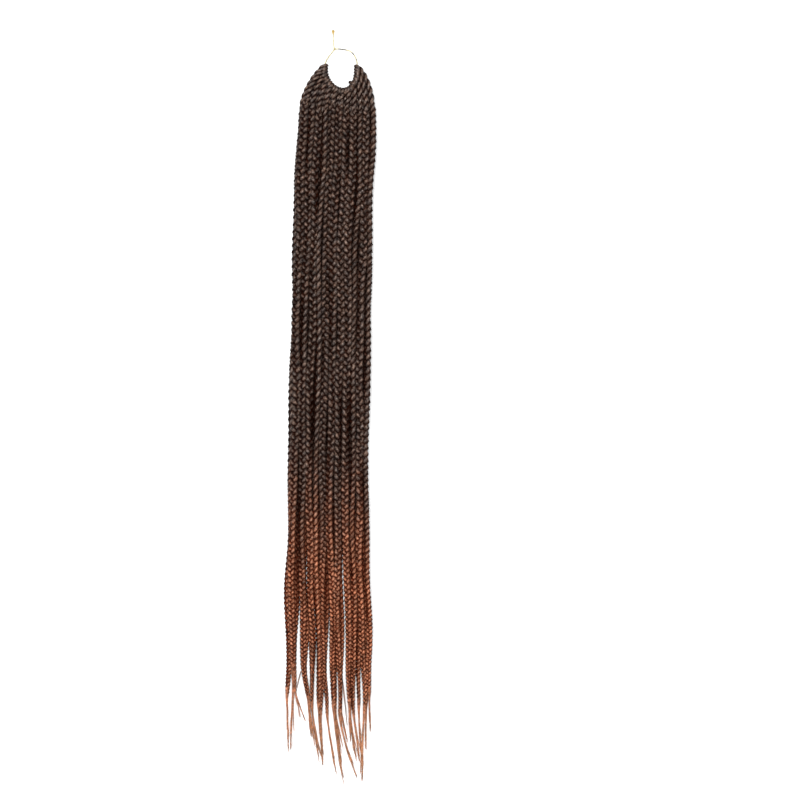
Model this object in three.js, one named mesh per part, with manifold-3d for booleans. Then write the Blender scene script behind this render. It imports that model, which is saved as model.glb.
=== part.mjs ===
// A bundle of crochet box braids lying flat. Twenty-two three-strand braids hang side by side in two
// layers, each folded over one thin metallic thread by the small eye at its head. The thread is tied
// into a loop, with a knotted tail, by which the bundle is carried.
// Millimetres. +Y points from the tips to the head, +X across the bundle, +Z up. Z = 0 is the surface
// that the bundle lies on, and X = Y = 0 is the middle of the braids. Places along a braid are given
// as its drop, the distance down from the head. The plaiting is finer than these faceted solids.
import * as THREE from "three";
import { mergeVertices } from "three/addons/utils/BufferGeometryUtils.js";
import Module from "manifold-3d";

// Driving dimensions
const braidCount = 22;
const hairLength = 610; // from the head of the eyes to the longest tip
const braidWidth = 5.6; // of a plait near the head
const braidThickness = 4.4;
const neckWidth = 2.7; // of the twisted neck between eye and plait
const neckThickness = 2.4;
const braidGap = 0.34; // between neighbours in one layer
const layerGap = 0.3; // between the two layers
const threadDiameter = 1.0;
const eyeClearance = 0.35; // between the thread and an eye's wall
const eyeWall = 1.45; // one ply of hair folded over the thread
const eyeGap = 0.3; // between neighbouring eyes on the thread
const tightestBend = 9.5; // radius of the thread's tightest bend inside the eyes
const neckDrop = 44; // where the columns of plait begin to run straight
const gatherDrop = 345; // where neighbours begin to gather into groups
const gatherLength = 140;
const tipWidth = 0.6;
const tipThickness = 0.5;
const knotDiameter = 2.4;
const endKnotDiameter = 2.2;
const knotGap = 0.3; // between a knot and the thread that it ends
const threadStep = 2.4; // along the thread, from one section to the next
const threadSides = 8;
const eyeSides = 10;

const eyeRadius = threadDiameter / 2 + eyeClearance + eyeWall;
const headY = hairLength / 2;
const columnPitch = (braidWidth + braidGap) / 2; // neighbours lie in different layers
const bundleWidth = columnPitch * (braidCount - 1) + braidWidth;

// The thread's route, chosen by hand: from the tie knot down the left run, through the eyes, up the
// right run and back over the arch to the tie knot. It rests on the surface outside the eyes.
const threadRest = 0.55;
const loopRoute = [
  [3.9, 318.4, threadRest],
  [1.4, 315.2, threadRest],
  [-1.3, 311.6, 1.1],
  [-3.2, 308.3, 2.0],
  [-4.1, 304.6, eyeRadius],
  [-4.3, 299.9, eyeRadius],
  [-3.5, 295.2, eyeRadius],
  [-1.1, 290.6, eyeRadius],
  [2.6, 286.4, eyeRadius],
  [7.2, 283.8, eyeRadius],
  [12.2, 283.2, eyeRadius],
  [16.8, 285.0, eyeRadius],
  [20.2, 288.7, eyeRadius],
  [22.1, 293.4, eyeRadius],
  [22.8, 298.4, eyeRadius],
  [23.0, 303.8, eyeRadius],
  [22.8, 307.4, 1.9],
  [21.9, 310.4, 1.0],
  [20.3, 313.5, threadRest],
  [17.4, 316.4, threadRest],
  [14.0, 317.6, threadRest],
  [10.4, 318.2, threadRest],
  [7.0, 318.6, threadRest],
  [3.9, 318.4, threadRest],
];
const firstEyePoint = 4; // the stretch of the route that the eyes are strung on
const lastEyePoint = 15;
const tailRoute = [
  [3.9, 318.4, threadRest],
  [3.2, 321.2, threadRest],
  [3.1, 324.4, threadRest],
  [2.6, 327.4, threadRest],
  [2.8, 330.2, threadRest],
  [2.7, 332.8, threadRest],
];

// How the columns lie, down the bundle: the drop as a share of the hair length, the sideways shift of
// the whole bundle as a share of its width, and how far the columns are spread.
const columns = [
  { at: 0.072, shift: 0.091, spread: 0.97 },
  { at: 0.187, shift: 0.043, spread: 1.0 },
  { at: 0.355, shift: 0.009, spread: 1.0 },
  { at: 0.532, shift: -0.017, spread: 1.01 },
  { at: 0.713, shift: -0.041, spread: 1.05 },
  { at: 0.824, shift: -0.032, spread: 1.05 },
  { at: 1.0, shift: -0.034, spread: 1.05 },
];

// How the plaits thin towards the tips: the drop as a share of the hair length, and the share of the
// full section that is left.
const tapers = [
  { at: 0.072, size: 0.93 },
  { at: 0.1, size: 1.0 },
  { at: 0.46, size: 1.0 },
  { at: 0.53, size: 0.93 },
  { at: 0.605, size: 0.86 },
  { at: 0.69, size: 0.76 },
  { at: 0.74, size: 0.7 },
  { at: 0.81, size: 0.62 },
  { at: 0.88, size: 0.54 },
  { at: 1.0, size: 0.48 },
];

// One row for each braid, left to right: where its plait ends and where its tip lies, as shares of the
// hair length, how far it gathers towards its group, as a share of a column, and how far its loose
// lock leans, as a share of the bundle's width.
const braids = [
  { end: 0.866, tip: 0.952, gather: -0.2, lean: -0.01 },
  { end: 0.835, tip: 0.949, gather: 0.0, lean: 0.0 },
  { end: 0.863, tip: 0.909, gather: 0.35, lean: 0.1 },
  { end: 0.875, tip: 0.945, gather: 1.0, lean: 0.14 },
  { end: 0.866, tip: 0.931, gather: 0.1, lean: 0.1 },
  { end: 0.885, tip: 0.958, gather: 1.1, lean: 0.12 },
  { end: 0.88, tip: 0.967, gather: -0.2, lean: 0.115 },
  { end: 0.882, tip: 0.963, gather: 1.2, lean: 0.045 },
  { end: 0.871, tip: 0.942, gather: -0.25, lean: 0.06 },
  { end: 0.896, tip: 0.971, gather: 0.7, lean: 0.005 },
  { end: 0.896, tip: 0.983, gather: 0.2, lean: 0.13 },
  { end: 0.885, tip: 1.0, gather: 0.9, lean: 0.16 },
  { end: 0.888, tip: 0.97, gather: 0.3, lean: 0.1 },
  { end: 0.896, tip: 0.99, gather: 0.4, lean: 0.25 },
  { end: 0.888, tip: 0.939, gather: 0.2, lean: 0.085 },
  { end: 0.88, tip: 0.938, gather: 0.75, lean: 0.03 },
  { end: 0.886, tip: 0.965, gather: 0.7, lean: 0.085 },
  { end: 0.896, tip: 0.968, gather: 0.95, lean: 0.05 },
  { end: 0.882, tip: 0.975, gather: 0.7, lean: 0.055 },
  { end: 0.891, tip: 0.993, gather: 0.8, lean: 0.005 },
  { end: 0.88, tip: 0.949, gather: 0.75, lean: 0.01 },
  { end: 0.866, tip: 0.925, gather: 0.7, lean: 0.02 },
];

// Sections along the neck, from the eye (0) to the straight columns (1). Width and thickness grow from
// the neck's (0) to the plait's (1), and climb carries the section from the eye's height to its layer.
const neckSections = [
  { at: 0.0, grow: 0.0, climb: 0.0 },
  { at: 0.1, grow: 0.0, climb: 0.3 },
  { at: 0.22, grow: 0.06, climb: 0.85 },
  { at: 0.38, grow: 0.22, climb: 1.0 },
  { at: 0.54, grow: 0.4, climb: 1.0 },
  { at: 0.7, grow: 0.6, climb: 1.0 },
  { at: 0.86, grow: 0.8, climb: 1.0 },
];
const neckWhole = 0.45; // the share of the neck by which it has its own full width
const neckDroop = 0.9; // how much a neck leaves its eye downwards, against outwards
const neckOutward = 0.26; // how far the neck holds its first heading, as a share of its reach
const neckUpright = 0.42; // how far it already runs down its column

// Sections along the loose lock, from the plait's end (0) to the tip (1), with the share of the plait's
// section that is left above the tip's.
const lockSections = [
  { at: 0.1, size: 1.04 },
  { at: 0.28, size: 0.95 },
  { at: 0.48, size: 0.72 },
  { at: 0.66, size: 0.46 },
  { at: 0.84, size: 0.2 },
  { at: 1.0, size: 0.0 },
];
const plaitSections = 13; // along the straight columns
const lockBend = 1.6; // how late a lock leans aside
const lockFall = 0.5; // how late an upper lock comes down to the surface

const wasm = await Module();
wasm.setup();

const hairDark = new THREE.Color(0x4a3b33);
const hairAuburn = new THREE.Color(0x9a5a3c);
const threadGold = new THREE.Color(0xd9bd6a);

const mix = (from, to, share) => from + (to - from) * share;

// A value from a table of rows, straight between the rows on either side.
function tableValue(rows, at, column) {
  const next = rows.findIndex((row) => row.at >= at);
  if (next === 0) return rows[0][column];
  if (next < 0) return rows[rows.length - 1][column];
  const low = rows[next - 1];
  const high = rows[next];
  return mix(low[column], high[column], (at - low.at) / (high.at - low.at));
}

const curveOf = (points) =>
  new THREE.CatmullRomCurve3(points.map((p) => new THREE.Vector3(...p)), false, "catmullrom", 0.5);
const loopCurve = curveOf(loopRoute);
const tailCurve = curveOf(tailRoute);
const samplesPerPoint = 40;
const loopLengths = loopCurve.getLengths((loopRoute.length - 1) * samplesPerPoint);
const loopLength = loopLengths[loopLengths.length - 1];
const strungFrom = loopLengths[firstEyePoint * samplesPerPoint];
const strungTo = loopLengths[lastEyePoint * samplesPerPoint];
const eyePitch = (strungTo - strungFrom) / (braidCount - 1);
const eyeWidth = eyePitch * (1 - eyeRadius / tightestBend) - eyeGap; // clear of its neighbours in a bend

// Where a braid is strung on the thread: the place, and the thread's direction there.
function eyePlace(index) {
  const share = (strungFrom + eyePitch * index) / loopLength;
  return { point: loopCurve.getPointAt(share), along: loopCurve.getTangentAt(share) };
}

// The middle of a braid's column at a drop.
function columnX(index, drop) {
  const at = drop / hairLength;
  const pitch = columnPitch * tableValue(columns, at, "spread");
  const gathered = THREE.MathUtils.smoothstep(drop, gatherDrop, gatherDrop + gatherLength);
  const row = braids[index % braids.length];
  const shift = tableValue(columns, at, "shift") * bundleWidth;
  return shift + pitch * (index - (braidCount - 1) / 2) + row.gather * columnPitch * gathered;
}

// Half the height at which a section lies: on the surface, or on the section below it.
const layerHeight = (index, half, halfBelow) => (index % 2 ? 2 * halfBelow + layerGap + half : half);

// A section of a braid: its middle, its heading in plan, and half its width and thickness.
const section = (x, y, z, heading, halfWidth, half) => ({ x, y, z, heading, halfWidth, half });

// The neck: it leaves the eye square to the thread and bends down into its column.
function neckStations(index) {
  const { point, along } = eyePlace(index);
  const out = new THREE.Vector2(along.y, -along.x); // away from the inside of the loop
  out.normalize();
  const inEye = threadDiameter / 2 + eyeClearance + eyeWall / 2;
  const start = new THREE.Vector2(point.x, point.y).addScaledVector(out, inEye);
  const end = new THREE.Vector2(columnX(index, neckDrop), headY - neckDrop);
  const reach = start.distanceTo(end);
  const lead = out.clone().add(new THREE.Vector2(0, -neckDroop)).normalize();
  const plan = new THREE.CubicBezierCurve(
    start,
    start.clone().addScaledVector(lead, reach * neckOutward),
    end.clone().add(new THREE.Vector2(0, reach * neckUpright)),
    end,
  );
  const startHalfWidth = eyeWidth / 2;
  return neckSections.map(({ at, grow, climb }) => {
    const place = plan.getPointAt(at);
    const leaving = Math.min(1, at / neckWhole);
    const neckHalfWidth = mix(startHalfWidth, neckWidth / 2, leaving);
    const full = tableValue(tapers, 0, "size");
    const halfWidth = mix(neckHalfWidth, (full * braidWidth) / 2, grow);
    const half = mix(neckThickness / 2, (full * braidThickness) / 2, grow);
    const z = mix(point.z, layerHeight(index, half, half), climb);
    return section(place.x, place.y, z, plan.getTangentAt(at), halfWidth, half);
  });
}

// The plaited length, straight down its column.
function plaitStations(index) {
  const { end } = braids[index % braids.length];
  const stations = [];
  for (let i = 0; i <= plaitSections; i++) {
    const drop = mix(neckDrop, end * hairLength, i / plaitSections);
    const size = tableValue(tapers, drop / hairLength, "size");
    const half = (size * braidThickness) / 2;
    const ahead = columnX(index, drop + 1) - columnX(index, drop - 1);
    const heading = new THREE.Vector2(ahead, -2).normalize();
    const z = layerHeight(index, half, half);
    stations.push(section(columnX(index, drop), headY - drop, z, heading, (size * braidWidth) / 2, half));
  }
  return stations;
}

// The loose lock, which leans aside, comes down to the surface and thins to its tip.
function lockStations(index) {
  const { end, tip, lean } = braids[index % braids.length];
  const size = tableValue(tapers, end, "size");
  const wide = (size * braidWidth) / 2;
  const thick = (size * braidThickness) / 2;
  const lift = layerHeight(index, 0, thick);
  const length = (tip - end) * hairLength;
  const placeAt = (share) =>
    new THREE.Vector2(
      columnX(index, (end + (tip - end) * share) * hairLength) + lean * bundleWidth * share ** lockBend,
      headY - end * hairLength - length * share,
    );
  return lockSections.map(({ at, size: left }) => {
    const place = placeAt(at);
    const heading = place.clone().sub(placeAt(at - 0.05)).normalize();
    const half = mix(tipThickness / 2, thick, left);
    const z = half + lift * (1 - at) ** lockFall;
    return section(place.x, place.y, z, heading, mix(tipWidth / 2, wide, left), half);
  });
}

// A closed six-sided body through the sections: a capped cylinder with each row moved to its section.
function bodyThrough(stations) {
  const rows = stations.length - 1;
  const geometry = new THREE.CylinderGeometry(1, 1, 1, 6, rows);
  const place = geometry.getAttribute("position");
  for (let i = 0; i < place.count; i++) {
    const s = stations[Math.round((0.5 - place.getY(i)) * rows)];
    const across = place.getZ(i) * s.halfWidth;
    const rise = (place.getX(i) / Math.sin(Math.PI / 3)) * s.half;
    place.setXYZ(i, s.x + s.heading.y * across, s.y - s.heading.x * across, s.z + rise);
  }
  return geometry;
}

// The eye: a ring of one ply round the thread, turned to face along it.
function eyeRing(index) {
  const { point, along } = eyePlace(index);
  const inner = threadDiameter / 2 + eyeClearance;
  const rounding = eyeWall * 0.3;
  const half = eyeWidth / 2;
  const profile = [
    new THREE.Vector2(inner, -half),
    new THREE.Vector2(eyeRadius - rounding, -half),
    new THREE.Vector2(eyeRadius, 0),
    new THREE.Vector2(eyeRadius - rounding, half),
    new THREE.Vector2(inner, half),
    new THREE.Vector2(inner, -half),
  ];
  const ring = new THREE.LatheGeometry(profile, eyeSides);
  ring.rotateX(Math.PI / 2); // its axis along Z and a corner at -Y, so that a corner is lowest below
  const up = new THREE.Vector3(0, 0, 1);
  const flat = new THREE.Vector3(along.x, along.y, 0).normalize();
  const side = new THREE.Vector3().crossVectors(flat, up);
  const turn = new THREE.Matrix4().makeBasis(side.negate(), up, flat);
  return ring.applyMatrix4(turn.setPosition(point));
}

function solidOf(geometry) {
  geometry.deleteAttribute("normal");
  geometry.deleteAttribute("uv");
  const merged = mergeVertices(geometry, 1e-4);
  return new wasm.Manifold(
    new wasm.Mesh({
      numProp: 3,
      vertProperties: new Float32Array(merged.getAttribute("position").array),
      triVerts: new Uint32Array(merged.index.array),
    }),
  );
}

function geometryOf(solid) {
  const mesh = solid.getMesh();
  const geometry = new THREE.BufferGeometry();
  geometry.setAttribute("position", new THREE.BufferAttribute(mesh.vertProperties, 3));
  geometry.setIndex(new THREE.BufferAttribute(mesh.triVerts, 1));
  geometry.computeVertexNormals();
  return geometry;
}

function braid(index) {
  const stations = [...neckStations(index), ...plaitStations(index), ...lockStations(index)];
  const solid = solidOf(bodyThrough(stations)).add(solidOf(eyeRing(index)));
  const material = new THREE.MeshStandardMaterial({
    color: hairDark.clone().lerp(hairAuburn, 0.25),
    roughness: 0.55,
    metalness: 0,
  });
  const mesh = new THREE.Mesh(geometryOf(solid), material);
  mesh.name = `braid_${String(index + 1).padStart(2, "0")}`;
  return mesh;
}

const threadMaterial = () =>
  new THREE.MeshStandardMaterial({ color: threadGold, roughness: 0.35, metalness: 0.8 });

// A stretch of the thread between two lengths along a curve.
function threadPiece(name, curve, from, to) {
  const length = curve.getLength();
  const steps = Math.ceil((to - from) / threadStep);
  const points = [];
  for (let i = 0; i <= steps; i++) points.push(curve.getPointAt(mix(from, to, i / steps) / length));
  const section = new THREE.Shape();
  for (let i = 0; i < threadSides; i++) {
    const angle = (2 * Math.PI * i) / threadSides;
    const x = (Math.cos(angle) * threadDiameter) / 2;
    const y = (Math.sin(angle) * threadDiameter) / 2;
    if (i) section.lineTo(x, y);
    else section.moveTo(x, y);
  }
  const path = new THREE.CurvePath();
  for (let i = 0; i < steps; i++) path.add(new THREE.LineCurve3(points[i], points[i + 1]));
  const geometry = new THREE.ExtrudeGeometry(section, { steps, bevelEnabled: false, extrudePath: path });
  const mesh = new THREE.Mesh(geometry, threadMaterial());
  mesh.name = name;
  return mesh;
}

function knot(name, place, diameter) {
  const geometry = new THREE.SphereGeometry(diameter / 2, 10, 6);
  const mesh = new THREE.Mesh(geometry, threadMaterial());
  mesh.name = name;
  mesh.position.set(place[0], place[1], Math.max(place[2], diameter / 2));
  return mesh;
}

const bundle = new THREE.Group();
for (let index = 0; index < braidCount; index++) bundle.add(braid(index));

const tieClear = knotDiameter / 2 + knotGap;
const tailLength = tailCurve.getLength();
const tailTo = tailLength - endKnotDiameter / 2 - knotGap;
bundle.add(threadPiece("thread_loop", loopCurve, tieClear, loopLength - tieClear));
bundle.add(threadPiece("thread_tail", tailCurve, tieClear, tailTo));
bundle.add(knot("tie_knot", loopRoute[0], knotDiameter));
bundle.add(knot("end_knot", tailRoute[tailRoute.length - 1], endKnotDiameter));

export default bundle;
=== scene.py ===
"""A bundle of crochet box braids lying flat, each folded over a tied metallic thread at its head.

Lengths in the tables and functions below are millimetres, as in the part's source, and are turned
into metres where a mesh is made. +Y points from the tips to the head, +X across the bundle, +Z up.
A place along a braid is given as its drop, the distance down from the head.
"""
import math

import bpy
import numpy as np
from bpy.props import FloatProperty, FloatVectorProperty, IntProperty, PointerProperty
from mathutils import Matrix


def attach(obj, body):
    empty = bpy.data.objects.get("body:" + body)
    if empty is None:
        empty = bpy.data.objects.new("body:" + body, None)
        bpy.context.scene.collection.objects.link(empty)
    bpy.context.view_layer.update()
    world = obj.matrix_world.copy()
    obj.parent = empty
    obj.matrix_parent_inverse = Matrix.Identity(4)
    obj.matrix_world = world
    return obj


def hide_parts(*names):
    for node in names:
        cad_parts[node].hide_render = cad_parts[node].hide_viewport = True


bl_info = {
    "name": "Crochet Box Braid Bundle",
    "version": (1, 0, 0),
    "blender": (4, 5, 0),
    "location": "View3D > Sidebar > Braids",
    "description": "Dresses a bundle of crochet box braids: plaits, thread, knots and the stage",
    "category": "Object",
}

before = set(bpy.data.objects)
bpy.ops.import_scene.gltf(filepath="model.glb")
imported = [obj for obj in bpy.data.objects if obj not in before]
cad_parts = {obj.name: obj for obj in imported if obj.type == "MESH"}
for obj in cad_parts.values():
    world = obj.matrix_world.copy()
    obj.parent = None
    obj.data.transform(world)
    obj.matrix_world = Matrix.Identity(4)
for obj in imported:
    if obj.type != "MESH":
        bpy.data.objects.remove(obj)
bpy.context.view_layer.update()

MM = 0.001

# The bundle, as in the part's source
BRAID_COUNT = 22
HAIR_LENGTH = 610.0
HEAD_Y = HAIR_LENGTH / 2
BRAID_WIDTH = 5.6
BRAID_THICKNESS = 4.4
COLUMN_PITCH = 2.97
BUNDLE_WIDTH = COLUMN_PITCH * (BRAID_COUNT - 1) + BRAID_WIDTH
LAYER_GAP = 0.3
THREAD_DIAMETER = 1.0
EYE_RADIUS = 2.3
NECK_DROP = 44.0
GATHER_DROP = 345.0
GATHER_LENGTH = 140.0
THREAD_REST = 0.55

# The thread's route round its loop and along its tail, on the surface but for the heights given
LOOP_PLAN = [
    (3.9, 318.4), (1.4, 315.2), (-1.3, 311.6), (-3.2, 308.3), (-4.1, 304.6), (-4.3, 299.9),
    (-3.5, 295.2), (-1.1, 290.6), (2.6, 286.4), (7.2, 283.8), (12.2, 283.2), (16.8, 285.0),
    (20.2, 288.7), (22.1, 293.4), (22.8, 298.4), (23.0, 303.8), (22.8, 307.4), (21.9, 310.4),
    (20.3, 313.5), (17.4, 316.4), (14.0, 317.6), (10.4, 318.2), (7.0, 318.6), (3.9, 318.4),
]
FIRST_EYE_POINT = 4
LAST_EYE_POINT = 15
SPAN_POINTS = 40  # on the curve from each point of a route to the next
TAIL_PLAN = [(3.9, 318.4), (3.2, 321.2), (3.1, 324.4), (2.6, 327.4), (2.8, 330.2), (2.7, 332.8)]
HEIGHTS = {2: 1.1, 3: 2.0, 16: 1.9, 17: 1.0}
HEIGHTS |= dict.fromkeys(range(FIRST_EYE_POINT, LAST_EYE_POINT + 1), EYE_RADIUS)
LOOP_ROUTE = [(*point, HEIGHTS.get(n, THREAD_REST)) for n, point in enumerate(LOOP_PLAN)]
TAIL_ROUTE = [(*point, THREAD_REST) for point in TAIL_PLAN]

# Drop as a share of the hair length, the bundle's sideways shift and the spread of its columns
COLUMNS = np.array([
    (0.072, 0.091, 0.97), (0.187, 0.043, 1.0), (0.355, 0.009, 1.0), (0.532, -0.017, 1.01),
    (0.713, -0.041, 1.05), (0.824, -0.032, 1.05), (1.0, -0.034, 1.05),
])
# Drop as a share of the hair length, and the share of the plait's full section that is left
TAPERS = np.array([
    (0.072, 0.93), (0.1, 1.0), (0.46, 1.0), (0.53, 0.96), (0.605, 0.91), (0.69, 0.81),
    (0.74, 0.79), (0.81, 0.73), (0.88, 0.61), (1.0, 0.5),
])
# Drop, and the height of one V of the plait there
V_HEIGHTS = np.array([
    (40.0, 5.3), (90.0, 6.1), (266.0, 6.3), (317.0, 5.8), (393.0, 5.1), (452.0, 4.1),
    (503.0, 3.4), (560.0, 3.0),
])
# For each braid, left to right: plait's end, tip, gathering and lean, as in the part's source; then
# how the plait is rolled about its own line, in degrees, and how early its colour changes, in mm,
# before EARLINESS
BRAIDS = [
    (0.866, 0.952, -0.2, -0.01, 78, 24), (0.835, 0.949, 0.0, 0.0, 14, 20),
    (0.863, 0.909, 0.35, 0.1, -12, -20), (0.875, 0.945, 1.0, 0.14, 26, -34),
    (0.866, 0.931, 0.1, 0.1, 8, 10), (0.885, 0.958, 1.1, 0.12, -8, 16),
    (0.88, 0.967, -0.2, 0.115, 18, -28), (0.882, 0.963, 1.2, 0.045, 72, 28),
    (0.871, 0.942, -0.25, 0.06, -6, 14), (0.896, 0.971, 0.7, 0.005, 184, -32),
    (0.896, 0.983, 0.2, 0.13, 12, -12), (0.885, 1.0, 0.9, 0.16, 10, 22),
    (0.888, 0.97, 0.3, 0.1, -14, -26), (0.896, 0.99, 0.4, 0.25, -14, -34),
    (0.888, 0.939, 0.2, 0.085, 6, 6), (0.88, 0.938, 0.75, 0.03, -4, 26),
    (0.886, 0.965, 0.7, 0.085, 16, 4), (0.896, 0.968, 0.95, 0.05, 74, 16),
    (0.882, 0.975, 0.7, 0.055, 96, -32), (0.891, 0.993, 0.8, 0.005, 6, 26),
    (0.88, 0.949, 0.75, 0.01, 14, 8), (0.866, 0.925, 0.7, 0.02, 62, -10),
]
# How far each braid is shifted aside low down, at the end of the first shift and of the second
SHIFTS = [
    (1.3, -0.2), (-0.2, 0.3), (-1.8, -2.3), (1.1, 4.8), (1.1, 4.2), (1.5, 1.8), (1.6, 2.0),
    (-0.4, -0.2), (1.0, 1.2), (-1.4, -3.6), (-1.2, 1.0), (-0.3, 0.6), (0.2, 0.2), (-0.4, 1.0),
    (-0.6, -0.6), (1.6, 2.3), (0.0, 0.4), (-0.3, -1.6), (0.4, 2.2), (0.8, 1.8), (0.6, 0.0),
    (0.9, 1.8),
]
# How thin each braid is at the plait's end, as a share of what the tapers leave
THINNED = [
    1.0, 0.95, 0.85, 0.86, 0.84, 0.68, 0.68, 0.9, 0.88, 0.85, 0.74,
    0.88, 0.86, 0.78, 0.76, 0.86, 0.84, 0.8, 0.95, 0.86, 0.84, 0.9,
]

# The drop where each change begins, and the length over which it grows
FIRST_SHIFT = (430.0, 65.0)
SECOND_SHIFT = (505.0, 35.0)
THINNING = (475.0, 50.0)
SWAY_RISE = (40.0, 60.0)
ROLL_RISE = (30.0, 60.0)
FLATTENING = (380.0, 100.0)
LOOSENING = (400.0, 100.0)
# Where the painted shade on bottom braids between top ones comes in, and where it goes
COVERED_FROM = (60.0, 60.0)
COVERED_TO = (420.0, 90.0)

# How a braid lies
COLUMN_EASING = 14.0  # how far up and down its column's corners are eased
LAYER_SINK = 0.6  # how far the top layer sinks into the bottom one
WAVE_LENGTHS = (70.0, 130.0)
SWAYS = (0.7, 0.5)  # sideways, of its long wave and its short one
ROLL_SWINGS = (0.4, 0.24)  # likewise, in radians
LOWER_SWING = 0.5  # the share of its swings that a bottom braid keeps
FLATTENED = 0.5  # the share of its roll that a plait loses low down
FULL_ROLL = 120.0  # a plait rolled further than this loses none, in degrees
LOCK_BEND = 1.3  # how late a lock leans aside
LOCK_FALL = 0.5  # how late a lock falls to the surface
LOCK_FLOOR = (0.35, 1.1)  # a lock's least height at its tip, and what its root adds
LOCK_POINTS = 40

# How a neck leaves its eye, and what it climbs at each share of its length
NECK_DROOP = 0.9
NECK_OUTWARD = 0.26
NECK_UPRIGHT = 0.42
NECK_CLIMB = np.array([(0.0, 0.0), (0.1, 0.3), (0.22, 0.85), (0.38, 1.0), (1.0, 1.0)])
NECK_POINTS = 60

# The photograph's frame: how much of the surface it shows, and the place at its middle
FRAME_WIDTH = 676.0
FRAME_MIDDLE = (59.15, 21.97)
CAMERA_HEIGHT = 2500.0
SENSOR_WIDTH = 36.0

# How strands lie in a plait
PLAIT_START = (27.0, 37.0)  # how far down the bundle the plaits begin
SHORTEST_NECK = 9.0
LONGEST_NECK = 0.9  # as a share of the line's own neck
PLAIT_OVERLAP = 3.0  # how far a plait goes on into its lock
FINE_STEP = 0.5  # along a braid, where the height of its V's is read
V_VARIATION = (0.95, 1.06)  # from braid to braid
V_UNEVENNESS = 0.09  # along a braid
OPENING = (0.62, 10.0)  # a plait's size where it starts, and how soon it is full
CLOSING = (0.8, 12.0)  # the same at its end
STEPS_PER_TURN = 18  # along a plaited strand, for each turn of its path
CROSSING_HASTE = 0.42  # how much faster a strand crosses the plait than it turns at the edge
FACE_FLATNESS = 1.1  # how long a strand stays on a face before it dives
EDGE_TURN = 1.6  # how sharply a strand's flat side turns over at the plait's edge
WOBBLES = ((0.06, 0.37), (0.05, 1.31))  # size and pace of the waves that vary a strand's reach
LOOSENESS = 2.4  # how much these grow low down
STRAND_FULLNESS = (0.88, 0.22)  # a strand's size at the edge, and what is added on a face
LOOSE_SLIMNESS = 0.93  # a strand's size where it is loose

# How the plies of a neck lie
PLY_WIDTH = 2.6
PLY_THICKNESS = 2.2
PLY_TURN = 11.5  # along the neck, for one turn of its two plies
PLY_TURN_VARIATION = (0.85, 1.15)
PLY_STRAIGHT = 1.2  # how far the plies go before they turn
PLY_STEP = 0.55
PLY_CLOSING = 4.5  # the length over which they come together below the thread
PLY_OVERLAP = 6.0  # how far they go on inside the plait
PLY_END = 0.65  # their size there
LOOSE_EYE = (15, 2.2)  # the braid whose eye stands off the thread, and how far

# Painted shade: how dark the hair is painted between its strands, and between its braids
POINT_LENGTH = 0.12  # of the point that closes each end of a strand
NEAR_POINTS = 9  # of another strand, measured each way
FOLD_UNSHADED = 0.9  # how much of its colour the fold over the thread keeps under the painted shade
FOLD_RINGS = (6, 6)  # how far from its middle that fades, and over how many
SIDE_SHADE = 0.08  # how much of its colour a braid keeps on its sides, under the painted shade
SIDE_RISE = (0.05, 0.8)  # where up its side that fades, and over how much
LOWER_SHADE = 0.3  # how much of its colour a bottom braid keeps between top ones, under the painted shade

# Loose hair. Forks are wisps that leave a braid's lock: how far down it each ends, and how far
# aside
FORKS = {
    0: [(0.8, -0.8)], 1: [(0.77, 2.6), (0.65, 9.0), (0.45, 3.6)], 3: [(0.9, -1.6)], 9: [(0.8, 1.5)],
    12: [(0.72, 3.4)],
}
SLIM_LOCKS = {2: 0.8}  # locks of less than their share of hair
WISP_COUNT = 4
CORE_POINTS = 14
CORE_REACH = 0.8  # of the wisp's own
FIBRE_POINTS = 10
FIBRE_RADII = (0.11, 0.17)
FIBRE_SPREAD = 0.54  # of the fibres round a free wisp
# Dark stray wisps, by their braid: where on the surface each starts and ends
STRAY_WISPS = {2: ((-24.6, -207.0), (-27.9, -222.4)), 12: ((10.1, -210.0), (14.6, -254.0))}
STRAY_WISP_HAIRS = 7
STRAY_WISP_TONE = -4.5
STRAY_WISP_HEIGHTS = (3.4, 0.6)
STRAY_LENGTHS = (6.0, 18.0)
STRAY_LIFTS = (0.03, 0.22)  # off the plait, as a share of its half thickness
STRAY_POINTS = 8
STRAY_RADIUS = 0.05
SEED = 1349

# The hair's finish: repeats for a cm along a strand, a turn round it and its tone
STREAK_REPEATS = (0.9, 9.0, 13.0)
FIBRE_REPEATS = (1.6, 26.0, 29.0)
DRIFT = (90.0, 3.0)  # scale and detail
PATCHES = (240.0, 2.0)
GRAIN = (620.0, 2.0)
# How far down these move its change of colour, in metres, and the share of a braid's own value
# that it follows
TONE_SHIFT = 0.012
DRIFT_SHIFT = 0.05
STREAK_SHIFT = 0.09
EARLINESS = 0.6
ENDS_Y = (-0.215, -0.275)  # where the ends begin to pale, and where they are palest, in metres
ENDS_SHARE = 0.78
ENDS_COLOUR = (0.36, 0.198, 0.114, 1.0)
ASHEN_HEAD = (0.68, 0.72, 0.8, 1.0)
ASHEN_TIPS = (0.78, 0.68, 0.6, 1.0)
REDDISH = (1.4, 1.2, 1.04, 1.0)
# Painted shade: the hair's colour where it lies deep in the grooves between strands and braids, and
# where it lies free of them
PAINTED_GROOVE_SHADE = (0.11, 0.026, 0.008, 1.0)
UNSHADED_HAIR = (1.12, 1.12, 1.12, 1.0)
NO_GLOSS = (0.02, 0.015, 0.01, 1.0)
FULL_GLOSS = (1.0, 0.88, 0.79, 1.0)

# The thread's finish
THREAD_TURN = 3.4  # along the thread, for one turn of its plies
THREAD_STEP = 0.4
THREAD_WAIST = 0.84  # how far its outline is drawn in between the plies
GOLD_DARK = (0.38, 0.32, 0.15, 1.0)
GOLD_LIGHT = (0.66, 0.59, 0.34, 1.0)
GOLD_KNOT = (0.58, 0.41, 0.14, 1.0)
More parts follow.
